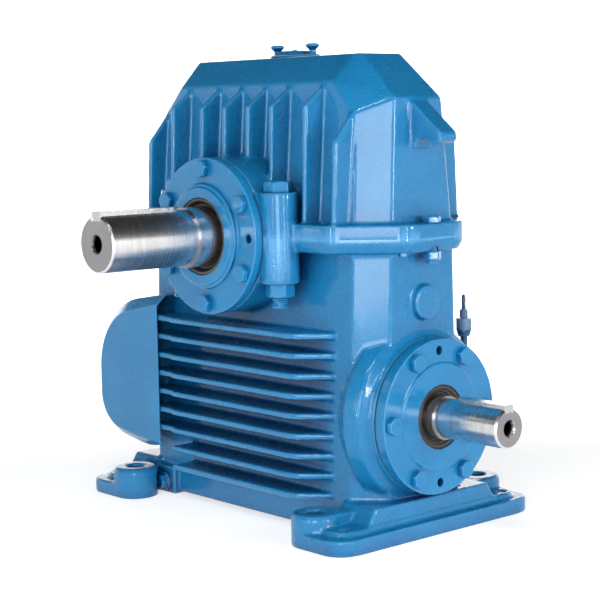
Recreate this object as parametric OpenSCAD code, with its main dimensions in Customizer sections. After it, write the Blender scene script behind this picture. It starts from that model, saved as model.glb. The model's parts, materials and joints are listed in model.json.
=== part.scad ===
// Underdriven worm gearbox: a worm below, its wheel above, in a casing split at the wheel shaft.
// +X runs along the worm towards the input shaft, the output shaft leaves along -Y, +Z is up,
// and the origin is the centre of the foot bolt pattern on the floor plane.

/* [Gear set] */
// Axial module of the worm thread
gear_module = 8; // [8]
// Starts on the worm
worm_starts = 2; // [2]
// Teeth on the wheel
wheel_teeth = 40; // [40]
// Pitch radius of the worm
worm_pitch_r = 43.2; // [43.2]
// Half of the play that each tooth flank gives away at the pitch line
flank_play = 0.5; // [0.45:0.05:0.8]
// Width of the bronze rim
rim_width = 52; // [46:1:54]

/* [Casing] */
// Height of the worm shaft above the floor plane
worm_height = 135; // [135]
// Half length of the casing at the split
case_half_length = 212; // [210:1:214]
// Half width of the casing at the split
case_half_width = 79; // [78:1:80]
// Leg of the corner chamfers in plan
case_chamfer = 31; // [28:1:32]
// Wall thickness
wall = 10; // [9:0.5:11]
// Height of the flat top
roof_height = 545; // [543:1:548]
// Thickness of each half of the split flange
split_flange = 16; // [14:1:18]

/* [Feet] */
// Spacing of the foot bolts along X
foot_pitch_x = 342; // [340:1:344]
// Spacing of the foot bolts along Y
foot_pitch_y = 264; // [262:1:266]
// Radius of the foot bolt holes
foot_hole_r = 11; // [9:0.5:12]
// Height of the foot bosses
foot_height = 38; // [36:1:40]
// Half length of the base plates
plate_half_length = 240; // [239:1:242]
// Half width of the base plates
plate_half_width = 160; // [159:1:161]

/* [Output shaft] */
// Radius of the output extension
output_r = 32.5; // [32.5]
// Distance from the wheel's middle plane to the end of the extension
output_reach = 297; // [290:1:300]
// Length of the output extension
output_length = 120; // [118:1:122]
// Radius of the output housing and its covers
output_flange_r = 91.5; // [90:0.5:93]
// Distance from the wheel's middle plane to the face of the output cover
output_face = 145; // [145]

/* [Input shaft] */
// Radius of the input extension
input_r = 22.5; // [22.5]
// Distance from the wheel shaft to the end of the input extension
input_reach = 340; // [336:1:344]
// Length of the input extension
input_length = 92; // [88:1:94]
// Radius of the worm covers
input_flange_r = 89; // [88:0.5:90]
// Distance from the wheel shaft to the face of the worm covers
input_face = 237; // [237]

/* [Cooling] */
// Radius of the fan
fan_r = 60; // [54:1:62]
// Blades on the fan
fan_blades = 9; // [7:1:11]
// Half width of the fan cowl
cowl_half_width = 119; // [118:1:121]
// Distance from the wheel shaft to the back of the cowl
cowl_reach = 304; // [300:1:308]
// Cooling fins on each side of the lower casing
side_fins = 9; // [9]

/* [Hidden] */
$fn = 64;
eps = 0.01;
body_paint = "steelblue";
bright = "silver";

// Gear set
axial_pitch = PI * gear_module;
lead = axial_pitch * worm_starts;
wheel_pitch_r = gear_module * wheel_teeth / 2;
centre_distance = wheel_pitch_r + worm_pitch_r;
output_height = worm_height + centre_distance;
pressure_angle = 20;
addendum = gear_module;
dedendum = 1.2 * gear_module;
worm_tip_r = worm_pitch_r + addendum;
worm_root_r = worm_pitch_r - dedendum;
worm_length = 140;
wheel_tip_r = wheel_pitch_r + addendum;
wheel_root_r = wheel_pitch_r - dedendum;
rim_inner_r = 138;

// Output line, measured along Y from the wheel's middle plane
gasket = 0.8;
output_cover_t = 11;
output_housing_face = output_face - output_cover_t - gasket;
output_bearing_out_r = 65;
output_seat_r = 37.5;
output_journal_r = 35;
output_bearing_w = 27;
output_bearing_end = output_housing_face - 10;
output_hub_half = 50;
output_hub_r = 61;
output_hub_h = 8;
output_seal_r = 45;
output_bolt_pcr = 78.7;
wheel_seat_r = 42;

// Worm line, measured along X from the wheel shaft
input_cover_t = 14.6;
input_housing_face = input_face - input_cover_t - gasket;
worm_bearing_out_r = 55;
worm_seat_r = 25;
worm_bearing_w = 29;
worm_bearing_end = input_housing_face - 10;
worm_shoulder_r = 31;
input_seal_r = 36.5;
input_bolt_pcr = 75.7;
fan_seat_r = 19;
fan_shaft_end = -284;
rear_seal_r = 32;

// Cover bolts, M12
m12_r = 6;
m12_af = 19;
m12_head = 7.6;
m12_clear_r = 6.6;
jack_hole_r = 5;

// Clamp bolts, M20
m20_r = 10;
m20_af = 30;
m20_head = 12.5;
m20_nut = 16;
clamp_x = 92;
clamp_y = 110;
clamp_boss_r = 23;
clamp_half = 52;
end_bolt_x = 226;

// Cast details
house_wall_y = 67;
house_facet_x = 174.5;
rib_x = [21.8, 64.5, 122.4, 170.4];
rib_t = 7;
fin_pitch = 23;
fin_top = 228;
fin_t = 7;
fin_face = 121;
fin_front = 117;
fin_back = -108;
blank_boss_z = 264;
cowl_t = 2.5;
cowl_front = -136;
cowl_low = 65;
cowl_high = 257;
cowl_bevel_y = 14;
cowl_bevel_z = 12;
plug_x = -154;
plug_z = 15.4;
pad_y = 97;
pipe_x = 162;
pipe_y = 121;
pad_face = 98;
elbow_z = 74;
knob_x = 32;

// ---------------------------------------------------------------- helpers

module along_x() rotate([0, 90, 0]) children();
module along_y() rotate([-90, 0, 0]) children();
module both_x() { children(); mirror([1, 0, 0]) children(); }
module both_y() { children(); mirror([0, 1, 0]) children(); }
module four_corners() both_x() both_y() children();
module at_worm() translate([0, 0, worm_height]) children();
module at_output() translate([0, 0, output_height]) children();

// A rod along X or Y between two stations
module rod_x(x0, x1, r) translate([x0, 0, 0]) along_x() cylinder(h = x1 - x0, r = r);
module rod_y(y0, y1, r) translate([0, y0, 0]) along_y() cylinder(h = y1 - y0, r = r);
module ring_y(y0, y1, r_in, r_out) difference() {
    rod_y(y0, y1, r_out);
    rod_y(y0 - 1, y1 + 1, r_in);
}
module ring_x(x0, x1, r_in, r_out) difference() {
    rod_x(x0, x1, r_out);
    rod_x(x0 - 1, x1 + 1, r_in);
}
module cone_x(x0, x1, r0, r1) translate([x0, 0, 0]) along_x() cylinder(h = x1 - x0, r1 = r0, r2 = r1);
module cone_y(y0, y1, r0, r1) translate([0, y0, 0]) along_y() cylinder(h = y1 - y0, r1 = r0, r2 = r1);

// Hexagon prism with the chamfered corners of a bolt head, standing on z = 0
module hex_head(af, h) intersection() {
    cylinder(h = h, r = af / sqrt(3), $fn = 6);
    union() {
        cylinder(h = h - af / 12, r = af / 2 * 1.16);
        translate([0, 0, h - af / 12]) cylinder(h = af / 12, r1 = af / 2 * 1.16, r2 = af / 2 * 0.95);
    }
}
// Bolt with its head on z = 0 and its shank below
module bolt(r, af, head, shank) {
    hex_head(af, head);
    translate([0, 0, -shank]) cylinder(h = shank + eps, r = r);
}
module nut(r, af, h) difference() {
    hex_head(af, h);
    translate([0, 0, -1]) cylinder(h = h + 2, r = r + 0.05);
}

// Plate with round corners, standing on z = 0
module rounded_plate(x0, x1, y0, y1, r, h) {
    translate([x0 + r, y0, 0]) cube([x1 - x0 - 2 * r, y1 - y0, h]);
    translate([x0, y0 + r, 0]) cube([x1 - x0, y1 - y0 - 2 * r, h]);
    for (x = [x0 + r, x1 - r], y = [y0 + r, y1 - r]) translate([x, y, 0]) cylinder(h = h, r = r);
}

// Eight-sided plan outline of the casing, drawn in by a margin
module casing_plan(half_l, half_w, c) polygon([
    [half_l, half_w - c], [half_l - c, half_w], [c - half_l, half_w], [-half_l, half_w - c],
    [-half_l, c - half_w], [c - half_l, -half_w], [half_l - c, -half_w], [half_l, c - half_w]
]);
module plan_slab(z, half_l, half_w, c) translate([0, 0, z]) linear_extrude(0.2)
    casing_plan(half_l, half_w, c);

// Places its children on a bolt circle around Y (starting angle from +X) or around X
module circle_y(y, pcr, first, step, count) for (i = [0:count - 1]) let (a = first + i * step)
    translate([pcr * cos(a), y, pcr * sin(a)]) children();
module circle_x(x, pcr, first, step, count) for (i = [0:count - 1]) let (a = first + i * step)
    translate([x, pcr * cos(a), pcr * sin(a)]) children();

// ---------------------------------------------------------------- casings

// Eight-cornered solid from the floor to the split, wider at the foot
module lower_solid(inset = 0, floor_z = 3) hull() {
    plan_slab(floor_z, case_half_length - 2 - inset, case_half_width + 10 - inset, case_chamfer);
    plan_slab(output_height - 0.2, case_half_length - inset, case_half_width - inset, case_chamfer);
}
// House-shaped solid above the split, with leaning walls, roof slopes and cut corners
module upper_solid(inset = 0) hull() {
    plan_slab(output_height, case_half_length - inset, case_half_width - inset, case_chamfer);
    for (sx = [-1, 1], sy = [-1, 1]) {
        translate([sx * (house_facet_x - inset), sy * (house_wall_y - inset), 478 - inset]) point();
        translate([sx * (207 - inset), sy * (36.5 - inset / 2), 494 - inset]) point();
        translate([sx * (139 - inset / 2), sy * (66 - inset), 514 - inset]) point();
        translate([sx * (150 - inset), sy * 29.5, roof_height - inset]) point();
        translate([sx * (142 - inset), sy * 35, roof_height - inset]) point();
    }
}
module point() translate([-0.05, -0.05, -0.1]) cube(0.1);

module output_cover_taps() at_output() both_y()
    circle_y(-output_housing_face - 1, output_bolt_pcr, 30, 60, 6) rod_y(0, 27, m12_r + 0.05);
module clamp_columns(z0, z1) four_corners() translate([clamp_x, clamp_y, z0])
    cylinder(h = z1 - z0, r = clamp_boss_r);
module clamp_holes() four_corners() translate([clamp_x, clamp_y, output_height - 80])
    cylinder(h = 160, r = m20_r + 0.5);
module end_bolt_holes() both_x() translate([end_bolt_x, 0, output_height - 40])
    cylinder(h = 80, r = m12_clear_r);
module dowel_places() for (s = [-1, 1]) translate([s * 215, -s * 34, 0]) children();

// Plan of the split flange, with an arc at each of its eight corners
flange_corner_r = 30;
function unit(v) = v / norm(v);
function corner_arc(p, a, b, r) = let (
    u = unit(a - p), v = unit(b - p), half = acos(u * v) / 2,
    c = p + unit(u + v) * r / sin(half), from = p + u * r / tan(half) - c, to = p + v * r / tan(half) - c)
    [for (t = [0:0.2:1]) c + r * unit((1 - t) * from + t * to)];
module flange_plan(l, w, c) let (k = [
    [l, w - c], [l - c, w], [c - l, w], [-l, w - c], [-l, c - w], [c - l, -w], [l - c, -w], [l, c - w]])
    polygon([for (i = [0:7]) each corner_arc(k[i], k[(i + 7) % 8], k[(i + 1) % 8], flange_corner_r)]);
module upper_flange() translate([0, 0, output_height]) linear_extrude(split_flange) flange_plan(235, 108, 66);
// The lower half of the flange tapers under a straight band
module lower_flange() {
    translate([0, 0, output_height - 8]) linear_extrude(8) flange_plan(235, 108, 66);
    translate([0, 0, output_height - split_flange])
        linear_extrude(split_flange - 8 + eps, scale = [235 / 231, 108 / 104]) flange_plan(231, 104, 65);
}

module side_fin(z) translate([0, 0, z - fin_t / 2]) linear_extrude(fin_t) polygon([
    [fin_back, 60], [fin_back, fin_face], [fin_front - 8, fin_face], [fin_front + 6, fin_face - 4],
    [fin_front + 36, fin_face - 32], [fin_front + 44, fin_face - 46],
    [fin_front + 44, 60]
]);
module fin_stub(z) translate([-156, 60, z - fin_t / 2]) cube([60, fin_face - 5 - 60, fin_t]);
module side_fins_cast() both_y() {
    for (i = [0:side_fins - 1]) side_fin(fin_top - i * fin_pitch);
    for (i = [0:side_fins - 3]) fin_stub(fin_top - i * fin_pitch);
}

module worm_housing_cast() at_worm() both_x() {
    cone_x(150, 192, 78, 108);
    cone_x(192 - eps, 209, 108, 102);
    cone_x(209 - eps, 215, 102, 91);
    rod_x(215 - 2 * eps, input_housing_face, 89.5);
}
module foot_cast() four_corners() {
    translate([foot_pitch_x / 2, foot_pitch_y / 2, 0]) {
        cylinder(h = foot_height - 5, r = 28);
        translate([0, 0, foot_height - 5]) cylinder(h = 5, r1 = 28, r2 = 25.5);
    }
    translate([foot_pitch_x / 2, 70, 0]) cube([26, foot_pitch_y / 2 - 70, foot_height - 1]);
}
module base_plates() both_x() difference() {
    union() {
        rounded_plate(foot_pitch_x / 2 - 28, plate_half_length, -plate_half_width, plate_half_width, 28, 18);
        translate([0, 0, 18 - eps]) rounded_plate(foot_pitch_x / 2 - 20, plate_half_length - 12,
            -plate_half_width + 14, plate_half_width - 14, 24, 6);
    }
    both_y() translate([foot_pitch_x / 2 - 40, 97, -1]) cube([40, foot_pitch_y / 2 - 97 + 30, 40]);
}
// Block that carries each worm housing, sloped down to the base plate
module housing_pedestals() both_x() translate([171, 0, 0]) rotate([90, 0, 90]) linear_extrude(55)
    polygon([[-106, 20], [-92, 42], [92, 42], [106, 20]]);

module lower_casing() color(body_paint) difference() {
    union() {
        difference() {
            union() {
                lower_solid();
                lower_flange();
                worm_housing_cast();
                foot_cast();
                base_plates();
                housing_pedestals();
                side_fins_cast();
                at_output() rod_y(-output_housing_face, output_housing_face, output_flange_r);
                clamp_columns(output_height - clamp_half, output_height);
                translate([0, 0, blank_boss_z]) rod_x(200, 221, 19.5);
                translate([plug_x - 20, -pad_y, 0]) cube([37, 22, 35]);
                translate([pipe_x - 15, 70, elbow_z - 14]) cube([30, pad_face - 70, 28]);
            }
            lower_cavity();
        }
        at_worm() both_x() ring_x(172, 206, worm_bearing_out_r - 2.5, 68);
        at_output() both_y() ring_y(66, 100, 50, 80);
    }
    translate([-300, -200, output_height]) cube([600, 400, 300]);
    at_worm() both_x() rod_x(worm_bearing_end - worm_bearing_w, 260, worm_bearing_out_r);
    at_worm() both_x() circle_x(input_housing_face - 26, input_bolt_pcr, 0, 60, 6) rod_x(0, 30, m12_r + 0.05);
    at_output() rod_y(-200, 200, 58);
    at_output() both_y() rod_y(output_bearing_end - output_bearing_w, 200, output_bearing_out_r);
    output_cover_taps();
    clamp_holes();
    end_bolt_holes();
    dowel_places() translate([0, 0, output_height - 20]) cylinder(h = 30, r = 4);
    four_corners() translate([foot_pitch_x / 2, foot_pitch_y / 2, -1])
        cylinder(h = foot_height + 2, r = foot_hole_r);
    four_corners() translate([214, 130, -1]) cylinder(h = 40, r = 5);
    translate([plug_x, -110, plug_z]) rod_y(0, 50, 8);
    translate([plug_x, -pad_y - 18, plug_z]) rod_y(0, 18, 12);
    translate([pipe_x, 40, elbow_z]) rod_y(0, 70, 6.45);
    cowl_screw_places() rod_y(-12, 0, 2.55);
}

// Inside of the lower casing: the gear space and, below it, the sump
module lower_cavity() {
    difference() {
        lower_solid(wall, wall);
        translate([-300, -200, output_height + 1]) cube([600, 400, 10]);
    }
    translate([0, 0, output_height - 5]) linear_extrude(10)
        casing_plan(case_half_length - wall, case_half_width - wall, case_chamfer);
}

module upper_casing() color(body_paint) difference() {
    union() {
        difference() {
            union() {
                upper_solid();
                upper_flange();
                at_output() rod_y(-output_housing_face, output_housing_face, output_flange_r);
                clamp_columns(output_height, output_height + clamp_half);
                side_ribs();
            }
            upper_solid(wall);
            translate([0, 0, output_height - 1]) linear_extrude(20)
                casing_plan(case_half_length - wall, case_half_width - wall, case_chamfer);
        }
        at_output() both_y() ring_y(62, 100, 50, 80);
    }
    translate([-300, -200, output_height - 300]) cube([600, 400, 300]);
    at_output() rod_y(-200, 200, 58);
    at_output() both_y() rod_y(output_bearing_end - output_bearing_w, 200, output_bearing_out_r);
    output_cover_taps();
    clamp_holes();
    end_bolt_holes();
    dowel_places() translate([0, 0, output_height - 1]) cylinder(h = 13.1, r = 4);
    translate([0, 0, roof_height - 30]) cylinder(h = 60, r = 24);
    for (s = [-1, 1]) translate([s * knob_x, 0, roof_height - 8]) cylinder(h = 20, r = 3.05);
}
// The part of each hook that stands clear of the casing
module lifting_lugs() color(body_paint) both_x() difference() {
    lifting_lug();
    upper_solid();
}
// Upright fins of the upper casing: deep at the flange, cut back to the wall at the top
module side_ribs() both_y() both_x() for (i = [0:3])
    let (shoulder = i == 3 ? 446 : 487, meet = i == 3 ? 478 : 508)
    translate([rib_x[i] + rib_t / 2, 0, 0]) rotate([0, -90, 0]) linear_extrude(rib_t) polygon([
        [output_height, 60], [output_height, 101.5], [shoulder, 96.5], [meet, house_wall_y + 2],
        [meet, 60]]);
// Hook at each end for the slings
module lifting_lug() translate([0, 14, 0]) rotate([90, 0, 0]) linear_extrude(28) difference() {
    polygon([[196, 503], [207, 494], [253, 455], [254, 447], [250, 443], [200, 436]]);
    translate([227, 438]) circle(r = 12);
}

// ---------------------------------------------------------------- casing fasteners

module clamp_bolts() color(body_paint) four_corners()
    translate([clamp_x, clamp_y, output_height + clamp_half])
        bolt(m20_r, m20_af, m20_head, 2 * clamp_half + 28);
module clamp_nuts() color(body_paint) four_corners()
    translate([clamp_x, clamp_y, output_height - clamp_half]) mirror([0, 0, 1]) rotate([0, 0, 20])
        nut(m20_r, m20_af, m20_nut);
module end_flange_bolts() color(body_paint) both_x()
    translate([end_bolt_x, 0, output_height + split_flange])
        bolt(m12_r, m12_af, m12_head, 2 * split_flange + 14);
module end_flange_nuts() color(body_paint) both_x()
    translate([end_bolt_x, 0, output_height - split_flange]) mirror([0, 0, 1]) nut(m12_r, m12_af, 10);
module dowel_pins() color(bright) dowel_places()
    translate([0, 0, output_height - 20]) cylinder(h = 32, r = 4);

// ---------------------------------------------------------------- output line

// Gasket ring between a housing face and its cover
module output_gasket() at_output() difference() {
    ring_y(-output_housing_face - gasket, -output_housing_face, output_bearing_out_r, output_flange_r - 0.5);
    circle_y(-output_housing_face - 2, output_bolt_pcr, 30, 60, 6) rod_y(0, 4, m12_clear_r);
}
module output_cover_blank() difference() {
    union() {
        rod_y(-output_face, -output_face + output_cover_t, output_flange_r);
        rod_y(-output_face + output_cover_t - eps, -output_bearing_end, output_bearing_out_r - 0.1);
    }
    circle_y(-output_face - 1, output_bolt_pcr, 30, 60, 6) rod_y(0, 20, m12_clear_r);
    circle_y(-output_face - 1, output_bolt_pcr, 0, 180, 2) rod_y(0, 20, jack_hole_r);
}
module output_cover() color(body_paint) at_output() difference() {
    union() {
        output_cover_blank();
        rod_y(-output_face - output_hub_h + 3, -output_face + eps, output_hub_r);
        rod_y(-output_face - output_hub_h, -output_face - output_hub_h + 3 + eps, output_hub_r - 4);
    }
    rod_y(-200, -output_face + 4, output_seal_r);
    rod_y(-output_face + 3, -output_bearing_end - 8, 39);
    rod_y(-output_bearing_end - 8 - eps, -output_bearing_end + 1, 55);
}
module output_seal() color("saddlebrown") at_output() difference() {
    rod_y(-output_face - output_hub_h + 1.5, -output_face + 4, output_seal_r);
    cone_y(-output_face - output_hub_h - 1, -output_face - 2, output_seal_r - 2, output_journal_r + 3);
    rod_y(-200, -100, output_journal_r + 0.3);
}
module output_cover_gasket() color("dimgray") output_gasket();
module cover_bolts_y() at_output() circle_y(-output_face, output_bolt_pcr, 30, 60, 6)
    rotate([90, 0, 0]) rotate([0, 0, 12]) bolt(m12_r, m12_af, m12_head, output_cover_t + 22);
module output_cover_bolts() color(body_paint) cover_bolts_y();
module blank_cover() color(body_paint) at_output() mirror([0, 1, 0]) {
    difference() {
        union() {
            output_cover_blank();
            cone_y(-output_face - output_hub_h, -output_face + eps, output_hub_r - 5, output_hub_r);
        }
        rod_y(-output_face + 2, -output_bearing_end + 1, 55);
    }
}
module blank_cover_gasket() color("dimgray") mirror([0, 1, 0]) output_gasket();
module blank_cover_bolts() color(body_paint) mirror([0, 1, 0]) cover_bolts_y();

output_seat_end = output_bearing_end - output_bearing_w;
module output_shaft() color(bright) at_output() difference() {
    union() {
        cone_y(-output_reach, -output_reach + 2, output_r - 2, output_r);
        rod_y(-output_reach + 2 - eps, -output_reach + output_length, output_r);
        rod_y(-output_reach + output_length - eps, -output_bearing_end, output_journal_r);
        rod_y(-output_bearing_end - eps, output_bearing_end, output_seat_r);
        rod_y(-output_hub_half, output_hub_half, wheel_seat_r);
    }
    translate([-9, -output_reach - 1, output_r - 7]) cube([18, 102, 20]);
    translate([0, -output_reach + 101, output_r - 7]) cylinder(h = 20, r = 9);
    rod_y(-output_reach - 1, -output_reach + 42, 8.7);
    cone_y(-output_reach - eps, -output_reach + 4, 10.5, 8.5);
    translate([-11, -35, wheel_seat_r - 9]) cube([22, 70, 20]);
    rod_y(output_bearing_end - 12, output_bearing_end + 1, 8);
}
module output_key() color(bright) at_output() {
    translate([-9, -output_reach + 1, output_r - 7]) cube([18, 100, 11]);
    translate([0, -output_reach + 101, output_r - 7]) cylinder(h = 11, r = 9);
}
module wheel_key() color(bright) at_output() translate([-11, -35, wheel_seat_r - 9]) cube([22, 70, 14]);

module wheel_centre() color("dimgray") at_output() difference() {
    union() {
        rod_y(-output_hub_half, output_hub_half, 66);
        rod_y(-9, 9, rim_inner_r - 4);
        ring_y(-rim_width / 2 + 3, rim_width / 2 - 3, 118, rim_inner_r);
        for (a = [0:60:300]) rotate([0, a, 0]) translate([60, -20, -5]) cube([66, 40, 10]);
    }
    rod_y(-200, 200, wheel_seat_r);
    translate([-11, -60, 0]) cube([22, 120, wheel_seat_r + 5]);
    circle_y(-20, 93, 30, 60, 6) rod_y(0, 40, 13);
    rim_screw_places() rod_y(-19, 19, 4.1);
}
module rim_screw_places() for (s = [-1, 1]) circle_y(s * (rim_width / 2 - 15), rim_inner_r, 0, 45, 8)
    children();
module rim_screws() color("dimgray") at_output() for (s = [-1, 1]) circle_y(0, rim_inner_r, 0, 45, 8)
    translate([0, s > 0 ? rim_width / 2 - 23 : -rim_width / 2 + 3, 0]) rod_y(0, 20, 4);

// Involute tooth flank: polar angle at radius r from the middle of the tooth
base_r = wheel_pitch_r * cos(pressure_angle);
function inv(a) = tan(a) - a * PI / 180;
function roll_angle(r) = r <= base_r ? 0 : acos(base_r / r);
function half_tooth(r) = (PI / 2 / wheel_teeth - flank_play / wheel_pitch_r
    + inv(pressure_angle) - inv(roll_angle(r))) * 180 / PI;
function polar(r, a) = [r * cos(a), r * sin(a)];
flank_radii = [wheel_root_r, base_r + 2, wheel_pitch_r, wheel_pitch_r + 4.5, wheel_tip_r];
function tooth_points(mid) = concat(
    [for (r = flank_radii) polar(r, mid - half_tooth(r))],
    [for (i = [len(flank_radii) - 1:-1:0]) polar(flank_radii[i], mid + half_tooth(flank_radii[i]))]);
wheel_twist = rim_width * tan(atan(lead / (2 * PI * worm_pitch_r))) / wheel_pitch_r * 180 / PI;
tooth_step = 360 / wheel_teeth;
module wheel_rim() color("goldenrod") at_output() difference() {
    along_y() rotate([0, 0, -wheel_twist / 2])
        linear_extrude(height = rim_width, center = true, twist = -wheel_twist, slices = 3, $fn = 18)
        polygon([for (i = [0:wheel_teeth - 1]) each tooth_points(90 + (i + 0.5) * tooth_step)]);
    rod_y(-60, 60, rim_inner_r);
    rim_screw_places() rod_y(-19, 19, 4.1);
}

module front_spacer() color(bright) at_output()
    ring_y(-output_seat_end, -output_hub_half, output_seat_r, 46);
module back_spacer() color(bright) at_output()
    ring_y(output_hub_half, output_seat_end, output_seat_r, 46);

// ---------------------------------------------------------------- taper roller bearings

// Profiles run along +Z, the roller's large end at the far side. All cones meet in one apex.
taper = 12;
roller_r = 7;
function roller_half_taper(mid_r) = atan(roller_r * sin(taper) / mid_r);
roller_shift = 1.5;
function raceway_r(mid_r, w, z, a) = (mid_r / tan(taper) + (z - w / 2 + roller_shift)) * tan(a);
module outer_race(r_out, mid_r, w) let (a = taper + roller_half_taper(mid_r))
    rotate_extrude() polygon([
        [raceway_r(mid_r, w, 0, a) + 0.3, 3], [r_out, 3], [r_out, w], [raceway_r(mid_r, w, w, a) + 0.3, w],
        [raceway_r(mid_r, w, 3, a) + 0.3, 3]]);
module inner_race(r_in, mid_r, w) let (a = taper - roller_half_taper(mid_r))
    rotate_extrude() polygon([
        [r_in, 0], [raceway_r(mid_r, w, 0, a) - 0.05, 0],
        [raceway_r(mid_r, w, w - 4, a) - 0.05, w - 4], [raceway_r(mid_r, w, w - 4, a) + 5, w - 4],
        [raceway_r(mid_r, w, w, a) + 5, w], [r_in, w]]);
module rollers(mid_r, w, count) let (h = w - 10, d = roller_half_taper(mid_r))
    for (i = [0:count - 1]) rotate([0, 0, i * 360 / count]) translate([mid_r, 0, w / 2 - roller_shift])
        rotate([0, taper, 0]) translate([0, 0, -h / 2])
            cylinder(h = h, r1 = roller_r - h / 2 * tan(d), r2 = roller_r + h / 2 * tan(d), $fn = 32);

output_mid_r = 51.5;
worm_mid_r = 40;
// A bearing faces the middle of its shaft with its small end
module at_front_output_bearing()
    at_output() translate([0, -output_seat_end, 0]) rotate([90, 0, 0]) children();
module at_back_output_bearing() mirror([0, 1, 0]) at_front_output_bearing() children();
module at_front_worm_bearing() at_worm() translate([worm_bearing_end - worm_bearing_w, 0, 0])
    along_x() children();
module at_back_worm_bearing() mirror([1, 0, 0]) at_front_worm_bearing() children();

module front_output_outer_race() color(bright) at_front_output_bearing()
    outer_race(output_bearing_out_r, output_mid_r, output_bearing_w);
module front_output_inner_race() color(bright) at_front_output_bearing()
    inner_race(output_seat_r, output_mid_r, output_bearing_w);
module front_output_rollers() color(bright) at_front_output_bearing()
    rollers(output_mid_r, output_bearing_w, 18);
module back_output_outer_race() color(bright) at_back_output_bearing()
    outer_race(output_bearing_out_r, output_mid_r, output_bearing_w);
module back_output_inner_race() color(bright) at_back_output_bearing()
    inner_race(output_seat_r, output_mid_r, output_bearing_w);
module back_output_rollers() color(bright) at_back_output_bearing()
    rollers(output_mid_r, output_bearing_w, 18);
module front_worm_outer_race() color(bright) at_front_worm_bearing()
    outer_race(worm_bearing_out_r, worm_mid_r, worm_bearing_w);
module front_worm_inner_race() color(bright) at_front_worm_bearing()
    inner_race(worm_seat_r, worm_mid_r, worm_bearing_w);
module front_worm_rollers() color(bright) at_front_worm_bearing()
    rollers(worm_mid_r, worm_bearing_w, 14);
module back_worm_outer_race() color(bright) at_back_worm_bearing()
    outer_race(worm_bearing_out_r, worm_mid_r, worm_bearing_w);
module back_worm_inner_race() color(bright) at_back_worm_bearing()
    inner_race(worm_seat_r, worm_mid_r, worm_bearing_w);
module back_worm_rollers() color(bright) at_back_worm_bearing()
    rollers(worm_mid_r, worm_bearing_w, 14);

// ---------------------------------------------------------------- worm line

// Polar outline of the worm cut square to its axis: one start per turn fraction
function thread_half_angle(r) = ((axial_pitch / 4 - flank_play / 2)
    + (worm_pitch_r - r) * tan(pressure_angle)) / lead * 360;
thread_radii = [worm_root_r, worm_pitch_r - 4, worm_pitch_r + 2, worm_tip_r];
function start_points(mid) = concat(
    [for (r = thread_radii) polar(r, mid - thread_half_angle(r))], [polar(worm_tip_r, mid)],
    [for (i = [3:-1:0]) polar(thread_radii[i], mid + thread_half_angle(thread_radii[i]))]);
worm_twist = 360 * worm_length / lead;
module worm_thread() along_x() rotate([0, 0, -worm_twist / 2])
    linear_extrude(height = worm_length, center = true, twist = -worm_twist, slices = 90, $fn = 18)
    polygon([for (i = [0:worm_starts - 1]) each start_points(180 + i * 360 / worm_starts)]);
worm_seat_start = worm_bearing_end - worm_bearing_w;
module worm_shaft() color(bright) at_worm() difference() {
    union() {
        worm_thread();
        rod_x(-worm_seat_start, worm_seat_start, worm_shoulder_r);
        rod_x(-worm_bearing_end - 14, input_reach - input_length, worm_seat_r);
        rod_x(input_reach - input_length - eps, input_reach - 2, input_r);
        cone_x(input_reach - 2 - eps, input_reach, input_r, input_r - 2);
        rod_x(-worm_bearing_end - 34, -worm_bearing_end - 14 + eps, 22);
        rod_x(fan_shaft_end, -worm_bearing_end - 34 + eps, fan_seat_r);
    }
    translate([input_reach - 72 + 7, -7, input_r - 5.5]) cube([80, 14, 20]);
    translate([input_reach - 72 + 7, 0, input_r - 5.5]) cylinder(h = 20, r = 7);
    rod_x(input_reach - 36, input_reach + 1, 7);
    cone_x(input_reach - 5, input_reach + eps, 7, 9.5);
    ring_x(fan_shaft_end + 4, fan_shaft_end + 6, fan_seat_r - 1.2, fan_seat_r + 5);
}
module input_key() color(bright) at_worm() {
    translate([input_reach - 72 + 7, -7, input_r - 5.5]) cube([72 - 7 - 1, 14, 9]);
    translate([input_reach - 72 + 7, 0, input_r - 5.5]) cylinder(h = 9, r = 7);
}
module worm_locknut() color("dimgray") at_worm() difference() {
    rod_x(-worm_bearing_end - 12, -worm_bearing_end, 35);
    rod_x(-300, -100, worm_seat_r);
    for (a = [45:90:315]) rotate([a, 0, 0]) translate([-worm_bearing_end - 13, 31, -4]) cube([10, 10, 8]);
}

module worm_gasket() at_worm() difference() {
    ring_x(input_housing_face, input_housing_face + gasket, worm_bearing_out_r, input_flange_r - 0.5);
    circle_x(input_housing_face - 2, input_bolt_pcr, 0, 60, 6) rod_x(0, 5, m12_clear_r);
}
module worm_cover_blank() difference() {
    union() {
        rod_x(input_face - input_cover_t, input_face, input_flange_r);
        rod_x(worm_bearing_end, input_face - input_cover_t + eps, worm_bearing_out_r - 0.1);
        rod_x(input_face - eps, input_face + 2, 61.5);
    }
    circle_x(input_face - 20, input_bolt_pcr, 0, 60, 6) rod_x(0, 30, m12_clear_r);
    circle_x(input_face - 20, input_bolt_pcr, 90, 180, 2) rod_x(0, 30, jack_hole_r);
}
module input_cover() color(body_paint) at_worm() difference() {
    worm_cover_blank();
    rod_x(input_face - 8, input_face + 10, input_seal_r);
    rod_x(worm_bearing_end + 9, input_face - 7, 29);
    rod_x(worm_bearing_end - 1, worm_bearing_end + 9 + eps, 46);
}
module input_seal() color("saddlebrown") at_worm() difference() {
    rod_x(input_face - 8, input_face + 0.5, input_seal_r);
    cone_x(input_face - 3, input_face + 1, worm_seat_r + 3, input_seal_r - 4);
    rod_x(0, 400, worm_seat_r + 0.3);
}
module input_cover_gasket() color("dimgray") worm_gasket();
module cover_bolts_x() at_worm() circle_x(input_face, input_bolt_pcr, 0, 60, 6)
    along_x() rotate([0, 0, 8]) bolt(m12_r, m12_af, m12_head, input_cover_t + 22);
module input_cover_bolts() color(body_paint) cover_bolts_x();
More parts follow.
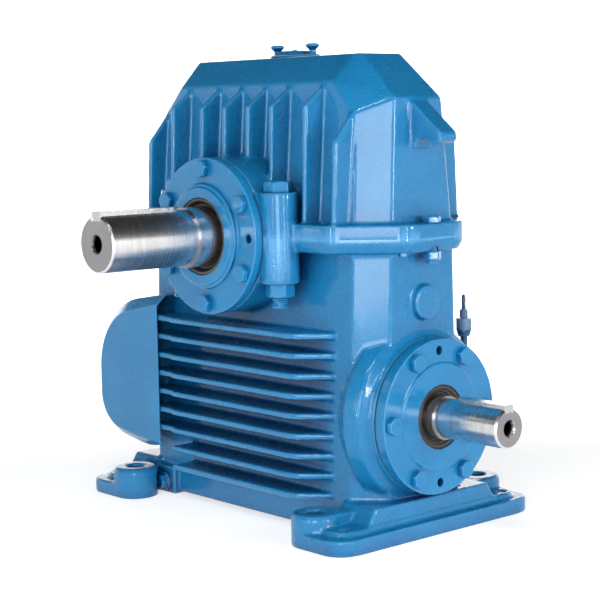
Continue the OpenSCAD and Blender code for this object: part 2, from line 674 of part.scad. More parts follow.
module rear_worm_cover() color(body_paint) at_worm() mirror([1, 0, 0]) difference() {
    worm_cover_blank();
    rod_x(input_face - 8, input_face + 10, rear_seal_r);
    rod_x(worm_bearing_end + 16, input_face - 7, 26);
    rod_x(worm_bearing_end - 1, worm_bearing_end + 16 + eps, 46);
}
module rear_seal() color("saddlebrown") at_worm() mirror([1, 0, 0]) difference() {
    rod_x(input_face - 8, input_face + 0.5, rear_seal_r);
    rod_x(0, 400, 22.3);
}
module rear_worm_cover_gasket() color("dimgray") mirror([1, 0, 0]) worm_gasket();
module rear_worm_cover_bolts() color(body_paint) mirror([1, 0, 0]) cover_bolts_x();

// ---------------------------------------------------------------- cooling

fan_front = -252;
fan_back = -278;
module fan() color("slategray") at_worm() difference() {
    union() {
        rod_x(fan_back, fan_front, 30);
        rod_x(fan_front - 4, fan_front, fan_r);
        for (i = [0:fan_blades - 1]) rotate([i * 360 / fan_blades, 0, 0])
            translate([fan_back, 20, -1.8]) cube([fan_front - fan_back, fan_r - 20, 3.6]);
    }
    rod_x(-300, -200, fan_seat_r);
}
module fan_circlip() color("dimgray") at_worm() difference() {
    ring_x(fan_shaft_end + 4, fan_shaft_end + 6, fan_seat_r - 1.2, fan_seat_r + 3);
    translate([fan_shaft_end, -3, 0]) cube([10, 6, 40]);
}

// One slice of the cowl across its width: a straight rim, and an arc above and below at the back
module cowl_slice(half_w, back, r_top, z_top, r_low, z_low, rim_low, rim_high, m)
    translate([0, half_w - m, 0]) rotate([90, 0, 0]) linear_extrude(2 * (half_w - m)) {
        translate([r_top - back, z_top - r_top]) circle(r = r_top - m);
        translate([r_low - back, z_low + r_low]) circle(r = r_low - m);
        translate([cowl_front - 1, rim_low + m]) square([2, rim_high - rim_low - 2 * m]);
    }
// Outside of the cowl, drawn in by a margin: narrow at the back, full behind the flat side panels
module cowl_solid(m) hull() {
    cowl_slice(cowl_half_width - 49, cowl_reach, 95, 245, 45, cowl_low, cowl_low, cowl_high, m);
    cowl_slice(cowl_half_width - cowl_bevel_y, cowl_reach - 29, 95, 249, 57, cowl_low,
        cowl_low, cowl_high, m);
    cowl_slice(cowl_half_width, cowl_reach - 43, 81, 235, 44, cowl_low + 13,
        cowl_low + 5, cowl_high - cowl_bevel_z, m);
}
inlet_r = 58;
slot_pitch = 13;
slot_half_t = 3.5;
bridge_half_w = 5;
// Rows of round-ended slots through the back wall, with a bridge down the middle
module inlet_slots() at_worm() both_y() for (k = [-4:4])
    let (near = bridge_half_w + slot_half_t, far = sqrt(inlet_r ^ 2 - (k * slot_pitch) ^ 2) - slot_half_t)
    translate([0, 0, k * slot_pitch]) {
        translate([-320, near, -slot_half_t]) cube([60, far - near, 2 * slot_half_t]);
        for (y = [near, far]) translate([0, y, 0]) rod_x(-320, -260, slot_half_t);
    }
module fan_cowl() color(body_paint) difference() {
    cowl_solid(0);
    cowl_solid(cowl_t);
    translate([cowl_front, -200, 0]) cube([400, 400, 400]);
    lower_solid(-2);
    translate([-248, -106, 0]) cube([208, 212, 75]);
    inlet_slots();
    cowl_screw_places() rod_y(-20, 20, 2.6);
}
module cowl_screw_places() for (i = [0:3:6])
    translate([cowl_front - 14, cowl_half_width - cowl_t, fin_top - i * fin_pitch]) children();
module cowl_screws() color(body_paint) cowl_screw_places() {
    rod_y(-9, cowl_t, 2.5);
    rod_y(cowl_t, cowl_t + 3, 5.5);
}
// ---------------------------------------------------------------- oil and inspection fittings

module drain_plug() color(body_paint) translate([plug_x, -pad_y, plug_z]) {
    rod_y(-4, -1, 11.4);
    translate([0, -4, 0]) rotate([90, 0, 0]) hex_head(16, 8);
    rod_y(-1 - eps, 14, 7.95);
}
module drain_washer() color("peru") translate([plug_x, -pad_y, plug_z]) ring_y(-1, 0, 8, 11);

cover_r = 29;
ear_r = 9;
// Round plate with an ear at each knob, the sides running straight from one to the other
module cover_plate(h) linear_extrude(h) {
    circle(r = cover_r);
    for (s = [-1, 1]) translate([s * knob_x, 0]) circle(r = ear_r);
    let (c = (cover_r - ear_r) / knob_x, d = sqrt(1 - c ^ 2), x = knob_x + ear_r * c) polygon([
        [cover_r * c, cover_r * d], [x, ear_r * d], [x, -ear_r * d], [cover_r * c, -cover_r * d],
        [-cover_r * c, -cover_r * d], [-x, -ear_r * d], [-x, ear_r * d], [-cover_r * c, cover_r * d]]);
}
cover_z = roof_height;
module inspection_gasket() color("dimgray") translate([0, 0, cover_z]) difference() {
    cover_plate(1);
    translate([0, 0, -1]) cylinder(h = 4, r = 24);
    for (s = [-1, 1]) translate([s * knob_x, 0, -1]) cylinder(h = 4, r = 3.5);
}
module inspection_cover() color(body_paint) translate([0, 0, cover_z + 1]) difference() {
    union() {
        cover_plate(2.5);
        translate([0, 0, 2.5 - eps]) cylinder(h = 5, r1 = 25.5, r2 = 18);
        translate([0, 0, 7]) cylinder(h = 2.2, r = 3);
    }
    translate([0, 0, -1]) cylinder(h = 1 + eps, r = 24);
    translate([0, 0, -eps]) cylinder(h = 5, r1 = 23, r2 = 16);
    for (s = [-1, 1]) translate([s * knob_x, 0, -1]) cylinder(h = 6, r = 3.5);
}
module thumb_knobs() color(body_paint) for (s = [-1, 1]) translate([s * knob_x, 0, cover_z + 3.5]) {
    rotate_extrude() polygon([
        [0, 0], [5.2, 0], [4.2, 3], [4.2, 5.5], [8.3, 9.5], [8.5, 11.5], [6, 13], [0, 13.6]]);
    translate([0, 0, -11]) cylinder(h = 11 + eps, r = 3);
}

// Elbow, standpipe and dipstick at the side of the lower casing
module level_elbow() color("dimgray") translate([pipe_x, pipe_y, elbow_z]) {
    rod_y(-32, 0, 6.4);
    sphere(r = 8.5);
    cylinder(h = 20, r = 8.5);
    rod_y(pad_face - pipe_y, pad_face - pipe_y + 5, 11);
}
pipe_foot = elbow_z + 20;
pipe_head = 208;
head_h = 22;
module level_pipe() color("dimgray") translate([pipe_x, pipe_y, pipe_foot]) difference() {
    union() {
        cylinder(h = pipe_head - pipe_foot, r = 4.4);
        translate([0, 0, pipe_head - pipe_foot - eps]) cylinder(h = 8, r1 = 7, r2 = 9.4);
        translate([0, 0, pipe_head - pipe_foot + 8 - 2 * eps]) cylinder(h = head_h - 8, r = 9.4);
    }
    translate([0, 0, 1]) cylinder(h = 200, r = 3);
}
module dipstick() color("dimgray") translate([pipe_x, pipe_y, pipe_head + head_h + 0.3]) {
    cylinder(h = 10, r = 5);
    translate([0, 0, -126]) cylinder(h = 127, r = 1.6);
    translate([0, 0, 10 - eps]) cylinder(h = 6, r = 2.6);
    translate([0, 0, 21]) rotate([90, 0, 125]) rotate_extrude() translate([5.5, 0]) circle(r = 2);
}

lower_casing();
upper_casing();
lifting_lugs();
clamp_bolts();
clamp_nuts();
end_flange_bolts();
end_flange_nuts();
dowel_pins();
output_cover();
output_cover_gasket();
output_cover_bolts();
output_seal();
blank_cover();
blank_cover_gasket();
blank_cover_bolts();
output_shaft();
output_key();
wheel_centre();
wheel_rim();
rim_screws();
wheel_key();
front_spacer();
back_spacer();
front_output_outer_race();
front_output_inner_race();
front_output_rollers();
back_output_outer_race();
back_output_inner_race();
back_output_rollers();
worm_shaft();
input_key();
front_worm_outer_race();
front_worm_inner_race();
front_worm_rollers();
back_worm_outer_race();
back_worm_inner_race();
back_worm_rollers();
worm_locknut();
input_cover();
input_cover_gasket();
input_cover_bolts();
input_seal();
rear_worm_cover();
rear_worm_cover_gasket();
rear_worm_cover_bolts();
rear_seal();
fan();
fan_circlip();
fan_cowl();
cowl_screws();
drain_plug();
drain_washer();
inspection_gasket();
inspection_cover();
thumb_knobs();
level_elbow();
level_pipe();
dipstick();
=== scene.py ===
"""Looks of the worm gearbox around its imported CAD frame: blue enamel on castings, turned steel, dark seals.

All lengths are in metres, in the frame's own axes.
"""

import json
import math

import bmesh
import bpy
import numpy as np
from mathutils import Matrix, Vector


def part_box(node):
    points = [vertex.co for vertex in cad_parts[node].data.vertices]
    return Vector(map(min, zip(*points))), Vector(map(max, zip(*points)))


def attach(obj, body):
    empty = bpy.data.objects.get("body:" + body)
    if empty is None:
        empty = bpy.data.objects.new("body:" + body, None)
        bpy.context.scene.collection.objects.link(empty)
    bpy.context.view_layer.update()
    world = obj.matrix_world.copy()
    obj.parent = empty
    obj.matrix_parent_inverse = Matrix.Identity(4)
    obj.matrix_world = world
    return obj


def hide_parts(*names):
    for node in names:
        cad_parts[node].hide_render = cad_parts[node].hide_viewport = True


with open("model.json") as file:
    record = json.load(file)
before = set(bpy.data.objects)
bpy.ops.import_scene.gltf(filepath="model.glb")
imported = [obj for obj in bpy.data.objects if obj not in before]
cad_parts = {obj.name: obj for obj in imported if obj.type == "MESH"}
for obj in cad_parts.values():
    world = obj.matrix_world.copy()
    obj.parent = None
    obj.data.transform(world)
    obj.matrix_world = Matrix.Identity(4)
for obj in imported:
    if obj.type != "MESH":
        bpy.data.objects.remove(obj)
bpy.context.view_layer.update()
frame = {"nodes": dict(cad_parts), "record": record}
nodes = frame["nodes"]
record = frame["record"]
slots = {s["node"]: s["material_slot"] for s in record["subparts"]}
body_of_node = {n: b for b, members in record["behaviour"]["bodies"].items() for n in members}

WORM_AXIS = (0, 0, 0.135)
OUTPUT_AXIS = (0, 0, 0.3382)

# ---------------------------------------------------------------- camera

CAMERA_PLACE = (1.4746, -1.2982, 0.4735)
CAMERA_TURN, CAMERA_DIP, CAMERA_ROLL = (math.radians(a) for a in (48.62, 6.48, -1.04))
LENS_MM = 96.34
SENSOR_MM = 36
NEAREST, FARTHEST = 0.05, 40


def make_camera():
    turn_cos, turn_sin = math.cos(CAMERA_TURN), math.sin(CAMERA_TURN)
    dip_cos, dip_sin = math.cos(CAMERA_DIP), math.sin(CAMERA_DIP)
    roll_cos, roll_sin = math.cos(CAMERA_ROLL), math.sin(CAMERA_ROLL)
    flat = Vector((turn_cos, turn_sin, 0))
    ahead = Vector((-turn_sin * dip_cos, turn_cos * dip_cos, -dip_sin))
    up = flat.cross(ahead)
    right = flat * roll_cos + up * roll_sin
    top = up * roll_cos - flat * roll_sin
    turned = Matrix((right, top, -ahead)).transposed().to_4x4()
    data = bpy.data.cameras.new("camera")
    data.lens, data.sensor_width = LENS_MM, SENSOR_MM
    data.clip_start, data.clip_end = NEAREST, FARTHEST
    cam = bpy.data.objects.new("camera", data)
    cam.matrix_world = Matrix.Translation(CAMERA_PLACE) @ turned
    bpy.context.scene.collection.objects.link(cam)
    bpy.context.scene.camera = cam


make_camera()

# ---------------------------------------------------------------- material helpers


RECESS_SAMPLES = 6


class Shader:
    """A node material with a Principled surface and short calls for the nodes that feed it."""

    def __init__(self, name, **fixed):
        self.mat = bpy.data.materials.new(name)
        self.mat.use_nodes = True
        self.tree = self.mat.node_tree
        self.surface = self.tree.nodes["Principled BSDF"]
        for key, value in fixed.items():
            self.surface.inputs[key.replace("_", " ")].default_value = value
        self.place = self.tree.nodes.new("ShaderNodeTexCoord").outputs["Object"]

    def link(self, source, target):
        self.tree.links.new(source, target)

    def noise(self, scale, detail=3.0, rough=0.5, where=None):
        n = self.tree.nodes.new("ShaderNodeTexNoise")
        n.inputs["Scale"].default_value = scale
        n.inputs["Detail"].default_value = detail
        n.inputs["Roughness"].default_value = rough
        self.link(where or self.place, n.inputs["Vector"])
        return n.outputs["Fac"]

    def stretch(self, x, y, z):
        """Object coordinates scaled along each axis, so a noise on them runs in rings or streaks."""
        n = self.tree.nodes.new("ShaderNodeMapping")
        n.inputs["Scale"].default_value = (x, y, z)
        self.link(self.place, n.inputs["Vector"])
        return n.outputs["Vector"]

    def ramp(self, source, *stops):
        n = self.tree.nodes.new("ShaderNodeValToRGB")
        while len(n.color_ramp.elements) < len(stops):
            n.color_ramp.elements.new(1.0)
        for e, (at, colour) in zip(n.color_ramp.elements, stops):
            e.position = at
            e.color = (*colour, 1) if isinstance(colour, tuple) else (colour, colour, colour, 1)
        self.link(source, n.inputs["Fac"])
        return n.outputs["Color"]

    def range(self, source, low, high, to_low, to_high):
        n = self.tree.nodes.new("ShaderNodeMapRange")
        for key, value in zip(("From Min", "From Max", "To Min", "To Max"), (low, high, to_low, to_high)):
            n.inputs[key].default_value = value
        self.link(source, n.inputs["Value"])
        return n.outputs["Result"]

    def facing(self, axis):
        """1 on faces square to an axis of the object, and 0 elsewhere."""
        n = self.tree.nodes.new("ShaderNodeTexCoord")
        split = self.tree.nodes.new("ShaderNodeSeparateXYZ")
        size = self.tree.nodes.new("ShaderNodeMath")
        size.operation = "ABSOLUTE"
        self.link(n.outputs["Normal"], split.inputs["Vector"])
        self.link(split.outputs[axis.upper()], size.inputs[0])
        return self.range(size.outputs["Value"], 0.90, 0.97, 0.0, 1.0)

    def from_axis(self, axis, centre):
        """Distance from the line through a centre along an axis."""
        n = self.tree.nodes.new("ShaderNodeVectorMath")
        n.operation = "DISTANCE"
        self.link(self.stretch(*{"x": (0, 1, 1), "y": (1, 0, 1)}[axis]), n.inputs[0])
        n.inputs[1].default_value = centre
        return n.outputs["Value"]

    def multiply(self, a, b):
        n = self.tree.nodes.new("ShaderNodeMix")
        n.data_type, n.blend_type = "RGBA", "MULTIPLY"
        n.inputs["Factor"].default_value = 1.0
        self.link(a, n.inputs["A"])
        self.link(b, n.inputs["B"])
        return n.outputs["Result"]

    def recess(self, reach):
        """Ambient occlusion, falling from 1 on open surfaces towards 0 in corners and slots narrower than the
        reach; the materials multiply it in as painted shade.
        """
        n = self.tree.nodes.new("ShaderNodeAmbientOcclusion")
        n.samples = RECESS_SAMPLES
        n.inputs["Distance"].default_value = reach
        return n.outputs["AO"]

    def edges(self, low, high):
        """Rises from 0 to 1 towards outward edges and corners."""
        n = self.tree.nodes.new("ShaderNodeNewGeometry")
        return self.range(n.outputs["Pointiness"], low, high, 0.0, 1.0)

    def blend(self, factor, a, b):
        """From a socket's colour towards a fixed one as the factor rises."""
        n = self.tree.nodes.new("ShaderNodeMix")
        n.data_type = "RGBA"
        self.link(factor, n.inputs["Factor"])
        self.link(a, n.inputs["A"])
        n.inputs["B"].default_value = (*b, 1)
        return n.outputs["Result"]

    def bump(self, *layers):
        """layers are (height, distance in metres, strength), laid one over another."""
        last = None
        for height, distance, strength in layers:
            n = self.tree.nodes.new("ShaderNodeBump")
            n.inputs["Distance"].default_value = distance
            n.inputs["Strength"].default_value = strength
            self.link(height, n.inputs["Height"])
            if last:
                self.link(last, n.inputs["Normal"])
            last = n.outputs["Normal"]
        self.link(last, self.surface.inputs["Normal"])

    def colour(self, source):
        self.link(source, self.surface.inputs["Base Color"])

    def roughness(self, source):
        self.link(source, self.surface.inputs["Roughness"])


BLUE = (0.004, 0.145, 0.335)
BLUE_LIGHT = (0.008, 0.176, 0.386)
NAVY = (0.006, 0.055, 0.130)
NAVY_LIGHT = (0.010, 0.070, 0.155)
STEEL = (0.76, 0.755, 0.76)


def enamel(name, grain, gloss=0.09, base=BLUE, light=BLUE_LIGHT):
    """Glossy paint: painted shade darkens it in corners, a painted highlight pales it on edges, and it is
    rippled over the cast surface below.
    """
    s = Shader(name, Coat_Weight=0.62, Coat_Roughness=gloss, Specular_IOR_Level=0.14)
    body = s.ramp(s.noise(14, 4), (0.3, base), (0.7, light))
    # Painted shade: ambient occlusion darkens the blue towards navy in corners, slots and between ribs.
    shade = s.ramp(s.recess(0.034), (0.0, (0.02, 0.05, 0.12)), (0.32, (0.26, 0.40, 0.54)), (0.74, 1.0))
    # Painted highlight: convex edges and corners are paled towards a lighter blue.
    painted_edge_highlight = tuple(min(1.0, c * 1.35 + 0.09) for c in light)
    s.colour(s.blend(s.edges(0.515, 0.60), s.multiply(body, shade), painted_edge_highlight))
    s.roughness(s.range(s.noise(90, 3), 0.3, 0.7, 0.24, 0.36))
    s.bump(
        (s.noise(26, 3), 0.0014, 0.30 * grain),
        (s.noise(400, 4, 0.65), 0.0011, 0.95 * grain),
        (s.noise(1000, 2), 0.00030, 0.80 * grain),
    )
    return s.mat


def turned_steel(name, axis, centre, hole_r):
    """Bright steel with lathe rings round an axis, duller end faces and painted shade in the centre hole."""
    s = Shader(name, Metallic=1.0)
    fine = {"x": (2400, 0, 0), "y": (0, 2400, 0)}[axis]
    broad = {"x": (170, 0, 0), "y": (0, 170, 0)}[axis]
    lathe = s.noise(1.0, 2, 0.6, s.stretch(*fine))
    bands = s.noise(1.0, 2, 0.5, s.stretch(*broad))
    rings = s.ramp(bands, (0.35, tuple(c * 0.86 for c in STEEL)), (0.65, STEEL))
    warm = s.ramp(s.noise(30, 4, 0.6), (0.42, 1.0), (0.72, (0.93, 0.89, 0.84)))
    # Painted shade: ambient occlusion darkens the steel in holes and corners.
    painted_hole_shade = s.ramp(s.recess(0.016), (0.0, (0.02, 0.02, 0.022)), (0.5, 1.0))
    away = s.from_axis(axis, centre)
    # Painted shade: the centre hole is coloured near black out to a little past its radius.
    painted_bore_shade = s.range(away, hole_r, hole_r + 0.0030, 0.03, 1.0)
    ends = s.ramp(s.facing(axis), (0.0, 1.0), (1.0, (0.42, 0.42, 0.44)))
    s.colour(s.multiply(s.multiply(s.multiply(s.multiply(rings, warm), painted_hole_shade), painted_bore_shade), ends))
    s.roughness(s.range(lathe, 0.3, 0.7, 0.19, 0.31))
    s.bump((lathe, 0.00003, 0.35), (bands, 0.00006, 0.20))
    return s.mat


def plain(name, base, other, roughness, scale, metallic, relief):
    """One material that drifts between two colours, with a fine relief."""
    s = Shader(name, Metallic=metallic)
    s.colour(s.ramp(s.noise(scale, 4), (0.3, base), (0.7, other)))
    s.roughness(s.range(s.noise(scale * 2, 3), 0.3, 0.7, roughness - 0.06, roughness + 0.06))
    s.bump((s.noise(scale * 5, 3), relief, 0.4))
    return s.mat


def ringed_seal(name, axis, centre, lip_r, out_r):
    """Black rubber round a shaft, with a narrow paler ring near its lip and a moulded groove outside that."""
    s = Shader(name, Specular_IOR_Level=0.35)
    away = s.from_axis(axis, centre)
    across = s.range(away, lip_r, out_r, 0.0, 1.0)
    black, grey, edge = (0.006, 0.006, 0.007), (0.050, 0.045, 0.044), (0.10, 0.085, 0.075)
    bands = ((0.0, black), (0.22, black), (0.30, edge), (0.38, black), (0.60, grey), (0.72, black))
    s.colour(s.ramp(across, *bands))
    s.roughness(s.range(s.noise(260, 3), 0.3, 0.7, 0.34, 0.48))
    s.bump((s.ramp(across, (0.20, 0.0), (0.30, 1.0), (0.40, 0.0), (0.62, 0.8), (0.75, 0.0)), 0.0008, 0.6))
    return s.mat


CAST = enamel("cast_enamel", 1.25)
MACHINED = enamel("machined_enamel", 0.40)
FASTENER = enamel("fastener_enamel", 0.22)
SHEET = enamel("sheet_enamel", 0.30)
DARK_ENAMEL = enamel("dark_enamel", 0.25, 0.10, NAVY, NAVY_LIGHT)
STEEL_X = turned_steel("turned_steel_x", "x", WORM_AXIS, 0.0074)
STEEL_Y = turned_steel("turned_steel_y", "y", OUTPUT_AXIS, 0.0091)
KEY_STEEL = plain("key_steel", (0.52, 0.52, 0.51), (0.60, 0.60, 0.59), 0.30, 200, 1.0, 0.00004)
BEARING = plain("bearing_steel", (0.55, 0.55, 0.56), (0.64, 0.64, 0.65), 0.16, 90, 1.0, 0.00003)
IRON = plain("wheel_iron", (0.050, 0.050, 0.053), (0.085, 0.085, 0.088), 0.62, 160, 0.4, 0.0006)
BLACKENED = plain("blackened_steel", (0.030, 0.031, 0.034), (0.055, 0.056, 0.060), 0.38, 150, 0.8, 0.00008)
BRONZE = plain("rim_bronze", (0.48, 0.27, 0.085), (0.58, 0.34, 0.12), 0.27, 110, 1.0, 0.00008)
RUBBER = plain("seal_rubber", (0.016, 0.011, 0.009), (0.030, 0.021, 0.017), 0.42, 260, 0.0, 0.0001)
SEAL_Y = ringed_seal("output_seal_rubber", "y", OUTPUT_AXIS, 0.0375, 0.056)
SEAL_X = ringed_seal("input_seal_rubber", "x", WORM_AXIS, 0.0250, 0.040)
FIBRE = plain("gasket_fibre", (0.014, 0.014, 0.015), (0.034, 0.034, 0.036), 0.78, 420, 0.0, 0.0002)
COPPER = plain("washer_copper", (0.50, 0.18, 0.09), (0.60, 0.24, 0.13), 0.34, 160, 1.0, 0.00006)
MOULDED = plain("fan_plastic", (0.018, 0.019, 0.021), (0.028, 0.029, 0.032), 0.48, 240, 0.0, 0.0001)

BY_SLOT = {
    "casing_paint": MACHINED,
    "painted_fasteners": FASTENER,
    "bearing_steel": BEARING,
    "wheel_iron": IRON,
    "dark_steel": BLACKENED,
    "bronze": BRONZE,
    "seal_rubber": RUBBER,
    "gasket_fibre": FIBRE,
    "copper": COPPER,
    "fan_plastic": MOULDED,
    "fittings_steel": DARK_ENAMEL,
}
BY_NODE = {
    "lower_casing": CAST,
    "upper_casing": CAST,
    "lifting_lugs": CAST,
    "fan_cowl": SHEET,
    "inspection_cover": SHEET,
    "output_seal": SEAL_Y,
    "input_seal": SEAL_X,
    "output_shaft": STEEL_Y,
    "worm_shaft": STEEL_X,
    "output_key": KEY_STEEL,
    "input_key": KEY_STEEL,
    "wheel_key": KEY_STEEL,
    "dowel_pins": MACHINED,
    "front_spacer": STEEL_Y,
    "back_spacer": STEEL_Y,
}


def material_for(name):
    return BY_NODE.get(name) or BY_SLOT[slots[name]]


for name, node in nodes.items():
    node.data.materials.clear()
    node.data.materials.append(material_for(name))

# ---------------------------------------------------------------- castings with rounded edges

# The casing halves meet in this plane. They are carried past it before they are rounded, then trimmed back
SPLIT_Z = 0.3382
SPLIT_SPARE = 0.008
SPLIT_NEAR = 1e-5
KEPT_SIDE = {"lower_casing": -1, "upper_casing": 1}
SHARP_ANGLE = math.radians(60)

CLAMP_BOLT_PLACES = [(x, y) for x in (0.092, -0.092) for y in (0.110, -0.110)]
THREAD_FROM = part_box("clamp_bolts")[0][2] + 0.0015
THREAD_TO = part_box("clamp_nuts")[0][2]
THREADS = {
    # centres, lowest and highest thread, core radius, pitch, depth
    "clamp_bolts": (CLAMP_BOLT_PLACES, THREAD_FROM, THREAD_TO, 0.0085, 0.0025, 0.0013),
}
CAST_ON = {
    # node cast in one with it, how far out its touching faces reach, how far they are pushed in
    "upper_casing": ("lifting_lugs", 0.2145, 0.003),
}
ROUNDED = (
    # node, voxel in metres, rounds, most triangles
    ("lower_casing", 0.0015, 8, 190000),
    ("upper_casing", 0.0015, 8, 190000),
    ("output_cover", 0.0010, 3, 60000),
    ("blank_cover", 0.0010, 3, 60000),
    ("input_cover", 0.0010, 3, 60000),
    ("rear_worm_cover", 0.0012, 3, 40000),
    ("output_cover_bolts", 0.0006, 2, 40000),
    ("blank_cover_bolts", 0.0008, 2, 20000),
    ("input_cover_bolts", 0.0006, 2, 40000),
    ("clamp_bolts", 0.0006, 1, 90000),
    ("clamp_nuts", 0.0008, 2, 30000),
    ("end_flange_bolts", 0.0006, 2, 20000),
    ("end_flange_nuts", 0.0006, 2, 20000),
    ("fan_cowl", 0.0011, 4, 90000),
    ("inspection_cover", 0.0007, 3, 40000),
    ("thumb_knobs", 0.0005, 2, 20000),
    ("drain_plug", 0.0006, 2, 20000),
)


def points(mesh):
    """Vertex places as an array, one row each."""
    co = np.empty(len(mesh.vertices) * 3, np.float32)
    mesh.vertices.foreach_get("co", co)
    return co.reshape(-1, 3).astype(np.float64)


def set_points(mesh, co):
    mesh.vertices.foreach_set("co", co.astype(np.float32).ravel())
    mesh.update()


def applied(obj, kind, **settings):
    """Adds one modifier, applies it and leaves the object with the result as its mesh."""
    mod = obj.modifiers.new(kind.lower(), kind)
    for key, value in settings.items():
        setattr(mod, key, value)
    graph = bpy.context.evaluated_depsgraph_get()
    made = bpy.data.meshes.new_from_object(obj.evaluated_get(graph), depsgraph=graph)
    obj.modifiers.remove(mod)
    old, obj.data = obj.data, made
    bpy.data.meshes.remove(old)


def relax(mesh, rounds):
    """Moves each vertex half way to the middle of its neighbours, round by round."""
    n = len(mesh.vertices)
    co = points(mesh)
    ends = np.empty(len(mesh.edges) * 2, np.int32)
    mesh.edges.foreach_get("vertices", ends)
    a, b = ends.reshape(-1, 2).T
    count = np.maximum(np.bincount(a, minlength=n) + np.bincount(b, minlength=n), 1)
    for _ in range(rounds):
        for axis in range(3):
            v = co[:, axis]
            mean = (np.bincount(a, v[b], n) + np.bincount(b, v[a], n)) / count
            co[:, axis] = (v + mean) / 2
    set_points(mesh, co)


def lengthen_at_split(mesh, side):
    """Carries a casing half past the split, so that no rounding reaches the edge of its joint face."""
    co = points(mesh)
    co[np.abs(co[:, 2] - SPLIT_Z) < SPLIT_NEAR, 2] -= side * SPLIT_SPARE
    set_points(mesh, co)


def trim_at_split(mesh, side):
    """Flattens whatever reaches past the split onto it."""
    co = points(mesh)
    co[:, 2] = np.maximum(co[:, 2], SPLIT_Z) if side > 0 else np.minimum(co[:, 2], SPLIT_Z)
    set_points(mesh, co)


def cut_thread(mesh, centres, low, high, core, pitch, depth):
    """Turns the plain end of each upright bolt between two heights into a screw thread."""
    co = points(mesh)
    for x, y in centres:
        dx, dy = co[:, 0] - x, co[:, 1] - y
        r = np.hypot(dx, dy)
        on = (r > core) & (r < core * 1.5) & (co[:, 2] > low) & (co[:, 2] < high)
        wave = np.abs(((co[:, 2] / pitch - np.arctan2(dy, dx) / (2 * math.pi)) % 1.0) * 2 - 1)
        k = np.where(on, 1 - depth * wave / np.maximum(r, core), 1.0)
        co[:, 0], co[:, 1] = x + dx * k, y + dy * k
    set_points(mesh, co)


def add_cast_on(mesh, name, face_x, bite):
    """Adds another node's solids, pushed a little into this one so that the two become one casting."""
    extra = nodes[name].data.copy()
    co = points(extra)
    touching = np.abs(co[:, 0]) < face_x
    co[touching, 0] -= bite * np.sign(co[touching, 0])
    set_points(extra, co)
    joined = bmesh.new()
    joined.from_mesh(mesh)
    joined.from_mesh(extra)
    joined.to_mesh(mesh)
    joined.free()


def soften(name, voxel, rounds, faces):
    """Stands in for a CAD node: the same solid with its edges and corners rounded as a casting's are."""
    side = KEPT_SIDE.get(name, 0)
    obj = bpy.data.objects.new(name + "_rounded", nodes[name].data.copy())
    bpy.context.scene.collection.objects.link(obj)
    if name in CAST_ON:
        add_cast_on(obj.data, *CAST_ON[name])
    if side:
        lengthen_at_split(obj.data, side)
    applied(obj, "REMESH", mode="VOXEL", voxel_size=voxel, adaptivity=0.0)
    relax(obj.data, rounds)
    if side:
        trim_at_split(obj.data, side)
    if name in THREADS:
        cut_thread(obj.data, *THREADS[name])
    triangles = sum(len(p.vertices) - 2 for p in obj.data.polygons)
    if triangles > faces:
        applied(obj, "DECIMATE", decimate_type="COLLAPSE", ratio=faces / triangles)
    obj.data.materials.clear()
    obj.data.materials.append(material_for(name))
    obj.data.shade_smooth()
    obj.data.set_sharp_from_angle(angle=SHARP_ANGLE)
    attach(obj, body_of_node[name])
    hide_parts(name, *CAST_ON.get(name, ())[:1])


for name, voxel, rounds, faces in ROUNDED:
    soften(name, voxel, rounds, faces)

# ---------------------------------------------------------------- studio


def area_light(name, place, aim, size, power):
    data = bpy.data.lights.new(name, "AREA")
    data.shape, data.size, data.size_y = "RECTANGLE", *size
    data.energy = power
    obj = bpy.data.objects.new(name, data)
    obj.location = place
    obj.rotation_mode = "QUATERNION"
    obj.rotation_quaternion = (Vector(aim) - Vector(place)).to_track_quat("-Z", "Y")
    bpy.context.scene.collection.objects.link(obj)


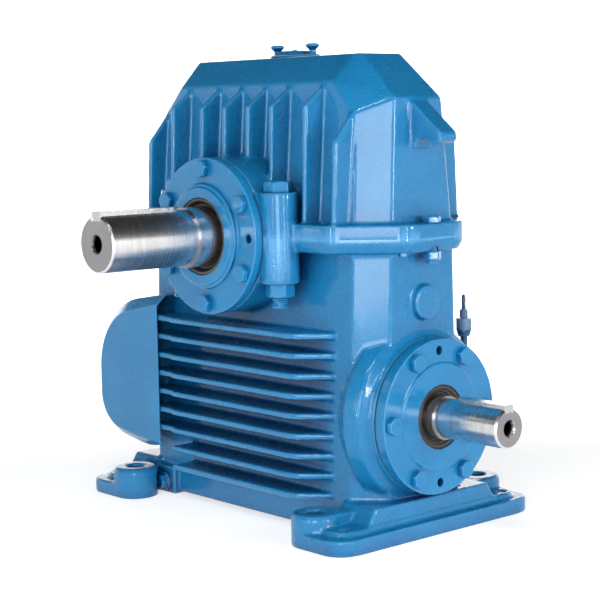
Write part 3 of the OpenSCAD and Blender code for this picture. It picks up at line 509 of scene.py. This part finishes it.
def make_floor():
    """A pale floor that curves up into a low backdrop on every side."""
    spokes, flat_rings, bend_rings, wall_rings = 96, 6, 12, 8
    flat, radius, rise = 3.4, 0.8, 0.5
    verts, faces = [(0, 0, 0)], []
    profile = [(flat * (i + 1) / flat_rings, 0.0) for i in range(flat_rings)]
    for i in range(bend_rings):
        a = math.pi / 2 * (i + 1) / bend_rings
        profile.append((flat + radius * math.sin(a), radius - radius * math.cos(a)))
    profile += [(flat + radius, radius + rise * (i + 1) / wall_rings) for i in range(wall_rings)]
    for r, z in profile:
        for k in range(spokes):
            a = 2 * math.pi * k / spokes
            verts.append((r * math.cos(a), r * math.sin(a), z))
    for k in range(spokes):
        faces.append((0, 1 + k, 1 + (k + 1) % spokes))
    for i in range(len(profile) - 1):
        for k in range(spokes):
            low, high, j = 1 + i * spokes, 1 + (i + 1) * spokes, (k + 1) % spokes
            faces.append((low + k, high + k, high + j, low + j))
    mesh = bpy.data.meshes.new("floor")
    mesh.from_pydata(verts, [], faces)
    mesh.shade_smooth()
    obj = bpy.data.objects.new("floor", mesh)
    s = Shader("floor_paper", Specular_IOR_Level=0.2)
    s.colour(s.ramp(s.noise(3, 2), (0.3, 0.70), (0.7, 0.72)))
    s.roughness(s.range(s.noise(12, 2), 0.3, 0.7, 0.80, 0.90))
    s.surface.inputs["Emission Color"].default_value = (1, 1, 1, 1)
    s.surface.inputs["Emission Strength"].default_value = 0.60
    mesh.materials.append(s.mat)
    bpy.context.scene.collection.objects.link(obj)


make_floor()
CENTRE = (0.0, -0.03, 0.27)
area_light("key", (2.10, -2.25, 0.62), CENTRE, (0.95, 1.50), 38)
area_light("side", (0.1, -2.7, 0.75), CENTRE, (0.30, 0.80), 2)
area_light("right", (2.9, 0.5, 0.7), CENTRE, (0.35, 0.80), 32)
area_light("back", (-2.0, 2.0, 1.3), CENTRE, (1.0, 1.0), 8)
area_light("backdrop", (-0.9, 1.1, 2.3), (-3.6, 3.2, 0.6), (1.6, 1.6), 170)
# Narrow strips draw the bright lines along rounded edges without lighting the faces
area_light("strip_over", (0.9, -1.3, 2.1), CENTRE, (1.4, 0.03), 16)
area_light("strip_side", (0.75, -2.6, 0.7), CENTRE, (0.03, 1.6), 14)
area_light("strip_right", (2.75, -0.6, 0.7), CENTRE, (0.03, 1.6), 14)


def make_world():
    """Bright from the horizon down and dark overhead, as in a studio with a black ceiling."""
    world = bpy.data.worlds.new("studio")
    world.use_nodes = True
    tree = world.node_tree
    place = tree.nodes.new("ShaderNodeTexCoord").outputs["Generated"]
    split = tree.nodes.new("ShaderNodeSeparateXYZ")
    ramp = tree.nodes.new("ShaderNodeValToRGB")
    tree.links.new(place, split.inputs["Vector"])
    tree.links.new(split.outputs["Z"], ramp.inputs["Fac"])
    tree.links.new(ramp.outputs["Color"], tree.nodes["Background"].inputs["Color"])
    stops = ((0.0, 0.60), (0.25, 0.45), (0.55, 0.12), (1.0, 0.05))
    while len(ramp.color_ramp.elements) < len(stops):
        ramp.color_ramp.elements.new(1.0)
    for e, (at, grey) in zip(ramp.color_ramp.elements, stops):
        e.position, e.color = at, (grey, grey, grey, 1)
    tree.nodes["Background"].inputs["Strength"].default_value = 0.40
    bpy.context.scene.world = world


make_world()
bpy.context.scene.view_settings.view_transform = "Standard"
